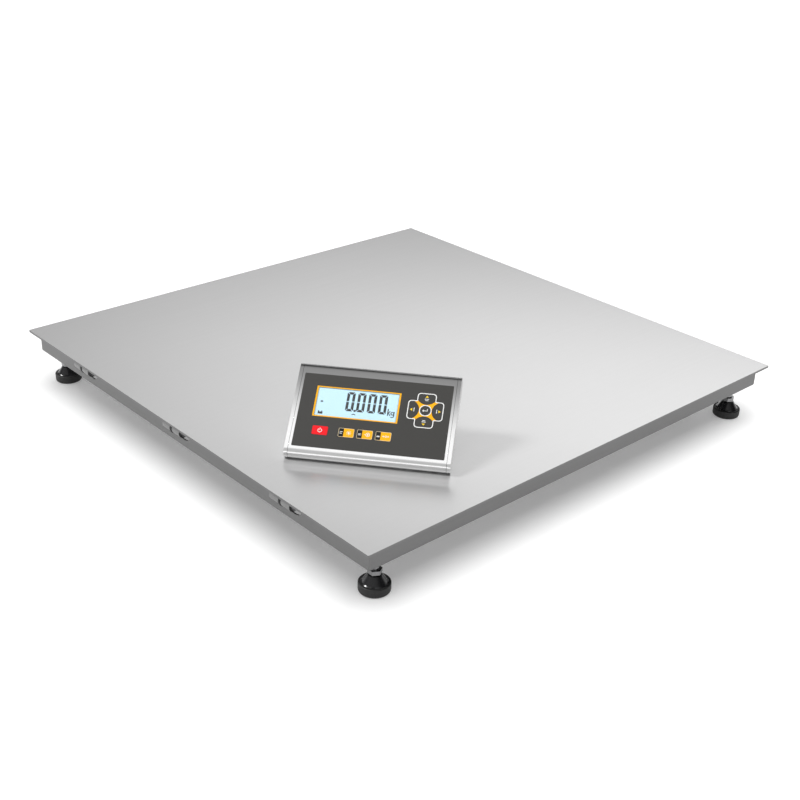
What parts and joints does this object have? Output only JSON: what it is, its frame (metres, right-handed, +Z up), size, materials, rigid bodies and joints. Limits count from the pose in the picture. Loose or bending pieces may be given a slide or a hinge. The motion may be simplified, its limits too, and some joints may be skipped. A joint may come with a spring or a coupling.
{
  "type": "low profile floor scale with hinged deck and desk indicator",
  "caption": "Square stainless floor scale for pallets: lift-up deck on a load cell frame with levelling feet, and a keypad indicator standing on the deck.",
  "frame": {"origin": "floor level, centre of the square deck", "axes": "+Z up; the hinge side of the deck faces -Y; +X to the right seen from the hinge side"},
  "size_m": [1.2, 1.2, 0.2534],
  "materials": {
    "brushed_stainless": "brushed",
    "deck_stainless": "brushed",
    "mill_stainless": "mill",
    "satin_stainless": "satin",
    "cell_steel": "plated",
    "fastener_steel": "plated",
    "cable_jacket": "matte",
    "white_nylon": "matte",
    "black_nylon": "matte",
    "black_rubber": "matte",
    "black_cup": "gloss",
    "circuit_board": "gloss",
    "dark_overlay": "satin",
    "clear_window": "gloss",
    "display_blue": "satin",
    "battery_wrap": "satin",
    "key_red": "satin",
    "key_orange": "satin",
    "key_dark": "satin"
  },
  "bodies": {
    "frame": {"hinge_rail": "brushed_stainless", "far_rail": "brushed_stainless", "left_rail": "brushed_stainless", "right_rail": "brushed_stainless", "cross_beams": "mill_stainless", "load_cell_seats": "mill_stainless", "load_cells": "cell_steel", "load_cell_screws": "fastener_steel", "load_cell_cables": "cable_jacket", "cable_clips": "white_nylon", "foot_lock_nuts": "fastener_steel", "frame_knuckles": "brushed_stainless", "hinge_pins": "fastener_steel", "hinge_washers": "black_nylon", "deck_pads": "black_rubber", "junction_box": "brushed_stainless", "junction_box_lid": "brushed_stainless", "junction_box_screws": "fastener_steel", "junction_board": "circuit_board", "cable_glands": "black_nylon"},
    "deck": {"deck_plate": "deck_stainless", "deck_stiffeners": "mill_stainless", "deck_knuckles": "brushed_stainless"},
    "indicator": {"indicator_housing": "satin_stainless", "end_caps": "satin_stainless", "end_cap_seals": "black_rubber", "rear_cover": "satin_stainless", "rear_screws": "fastener_steel", "cable_sockets": "black_nylon", "keypad_overlay": "dark_overlay", "display_window": "clear_window", "lcd_panel": "display_blue", "main_board": "circuit_board", "battery_pack": "battery_wrap", "indicator_stand": "satin_stainless"},
    "foot_seat_near_left": {"foot_seat_near_left": "white_nylon"},
    "foot_stud_near_left": {"foot_stud_near_left": "fastener_steel"},
    "foot_pad_near_left": {"foot_cup_near_left": "black_cup", "foot_base_near_left": "black_rubber"},
    "foot_seat_near_right": {"foot_seat_near_right": "white_nylon"},
    "foot_stud_near_right": {"foot_stud_near_right": "fastener_steel"},
    "foot_pad_near_right": {"foot_cup_near_right": "black_cup", "foot_base_near_right": "black_rubber"},
    "foot_seat_far_left": {"foot_seat_far_left": "white_nylon"},
    "foot_stud_far_left": {"foot_stud_far_left": "fastener_steel"},
    "foot_pad_far_left": {"foot_cup_far_left": "black_cup", "foot_base_far_left": "black_rubber"},
    "foot_seat_far_right": {"foot_seat_far_right": "white_nylon"},
    "foot_stud_far_right": {"foot_stud_far_right": "fastener_steel"},
    "foot_pad_far_right": {"foot_cup_far_right": "black_cup", "foot_base_far_right": "black_rubber"},
    "power_key": {"power_key": "key_red"},
    "function_key_1": {"function_key_1": "key_orange"},
    "function_key_2": {"function_key_2": "key_orange"},
    "function_key_3": {"function_key_3": "key_orange"},
    "up_key": {"up_key": "key_dark"},
    "down_key": {"down_key": "key_dark"},
    "left_key": {"left_key": "key_dark"},
    "right_key": {"right_key": "key_dark"},
    "enter_key": {"enter_key": "key_dark"}
  },
  "joints": [
    {"name": "deck_lift", "type": "hinge", "parent": "frame", "child": "deck", "pos_m": [0, -0.5795, 0.106], "axis": [1, 0, 0], "range_deg": [0, 85]},
    {"name": "indicator_lift_off", "type": "slide", "parent": "deck", "child": "indicator", "axis": [0, 0, 1], "range_m": [0, 0.3]},
    {"name": "foot_height_near_left", "type": "slide", "parent": "frame", "child": "foot_seat_near_left", "axis": [0, 0, -1], "range_m": [0, 0.014]},
    {"name": "foot_screw_near_left", "type": "hinge", "parent": "foot_seat_near_left", "child": "foot_stud_near_left", "pos_m": [-0.548, -0.538, 0.05], "axis": [0, 0, 1], "range_deg": [0, 2520]},
    {"name": "foot_tilt_near_left", "type": "hinge", "parent": "foot_seat_near_left", "child": "foot_pad_near_left", "pos_m": [-0.548, -0.538, 0.028], "axis": [1, 0, 0], "range_deg": [-8, 8]},
    {"name": "foot_height_near_right", "type": "slide", "parent": "frame", "child": "foot_seat_near_right", "axis": [0, 0, -1], "range_m": [0, 0.014]},
    {"name": "foot_screw_near_right", "type": "hinge", "parent": "foot_seat_near_right", "child": "foot_stud_near_right", "pos_m": [0.548, -0.538, 0.05], "axis": [0, 0, 1], "range_deg": [0, 2520]},
    {"name": "foot_tilt_near_right", "type": "hinge", "parent": "foot_seat_near_right", "child": "foot_pad_near_right", "pos_m": [0.548, -0.538, 0.028], "axis": [1, 0, 0], "range_deg": [-8, 8]},
    {"name": "foot_height_far_left", "type": "slide", "parent": "frame", "child": "foot_seat_far_left", "axis": [0, 0, -1], "range_m": [0, 0.014]},
    {"name": "foot_screw_far_left", "type": "hinge", "parent": "foot_seat_far_left", "child": "foot_stud_far_left", "pos_m": [-0.548, 0.538, 0.05], "axis": [0, 0, 1], "range_deg": [0, 2520]},
    {"name": "foot_tilt_far_left", "type": "hinge", "parent": "foot_seat_far_left", "child": "foot_pad_far_left", "pos_m": [-0.548, 0.538, 0.028], "axis": [1, 0, 0], "range_deg": [-8, 8]},
    {"name": "foot_height_far_right", "type": "slide", "parent": "frame", "child": "foot_seat_far_right", "axis": [0, 0, -1], "range_m": [0, 0.014]},
    {"name": "foot_screw_far_right", "type": "hinge", "parent": "foot_seat_far_right", "child": "foot_stud_far_right", "pos_m": [0.548, 0.538, 0.05], "axis": [0, 0, 1], "range_deg": [0, 2520]},
    {"name": "foot_tilt_far_right", "type": "hinge", "parent": "foot_seat_far_right", "child": "foot_pad_far_right", "pos_m": [0.548, 0.538, 0.028], "axis": [1, 0, 0], "range_deg": [-8, 8]},
    {"name": "power_key_press", "type": "slide", "parent": "indicator", "child": "power_key", "axis": [-0.3633, 0.4439, -0.8192], "range_m": [0, 0.0004], "stiffness_N_per_m": 2500},
    {"name": "function_key_1_press", "type": "slide", "parent": "indicator", "child": "function_key_1", "axis": [-0.3633, 0.4439, -0.8192], "range_m": [0, 0.0004], "stiffness_N_per_m": 2500},
    {"name": "function_key_2_press", "type": "slide", "parent": "indicator", "child": "function_key_2", "axis": [-0.3633, 0.4439, -0.8192], "range_m": [0, 0.0004], "stiffness_N_per_m": 2500},
    {"name": "function_key_3_press", "type": "slide", "parent": "indicator", "child": "function_key_3", "axis": [-0.3633, 0.4439, -0.8192], "range_m": [0, 0.0004], "stiffness_N_per_m": 2500},
    {"name": "up_key_press", "type": "slide", "parent": "indicator", "child": "up_key", "axis": [-0.3633, 0.4439, -0.8192], "range_m": [0, 0.0004], "stiffness_N_per_m": 2500},
    {"name": "down_key_press", "type": "slide", "parent": "indicator", "child": "down_key", "axis": [-0.3633, 0.4439, -0.8192], "range_m": [0, 0.0004], "stiffness_N_per_m": 2500},
    {"name": "left_key_press", "type": "slide", "parent": "indicator", "child": "left_key", "axis": [-0.3633, 0.4439, -0.8192], "range_m": [0, 0.0004], "stiffness_N_per_m": 2500},
    {"name": "right_key_press", "type": "slide", "parent": "indicator", "child": "right_key", "axis": [-0.3633, 0.4439, -0.8192], "range_m": [0, 0.0004], "stiffness_N_per_m": 2500},
    {"name": "enter_key_press", "type": "slide", "parent": "indicator", "child": "enter_key", "axis": [-0.3633, 0.4439, -0.8192], "range_m": [0, 0.0004], "stiffness_N_per_m": 2500}
  ],
  "couplings": [
    {"joint": "foot_screw_near_left", "follows": "foot_height_near_left", "rad_per_m": 3141.6},
    {"joint": "foot_screw_near_right", "follows": "foot_height_near_right", "rad_per_m": 3141.6},
    {"joint": "foot_screw_far_left", "follows": "foot_height_far_left", "rad_per_m": 3141.6},
    {"joint": "foot_screw_far_right", "follows": "foot_height_far_right", "rad_per_m": 3141.6}
  ]
}
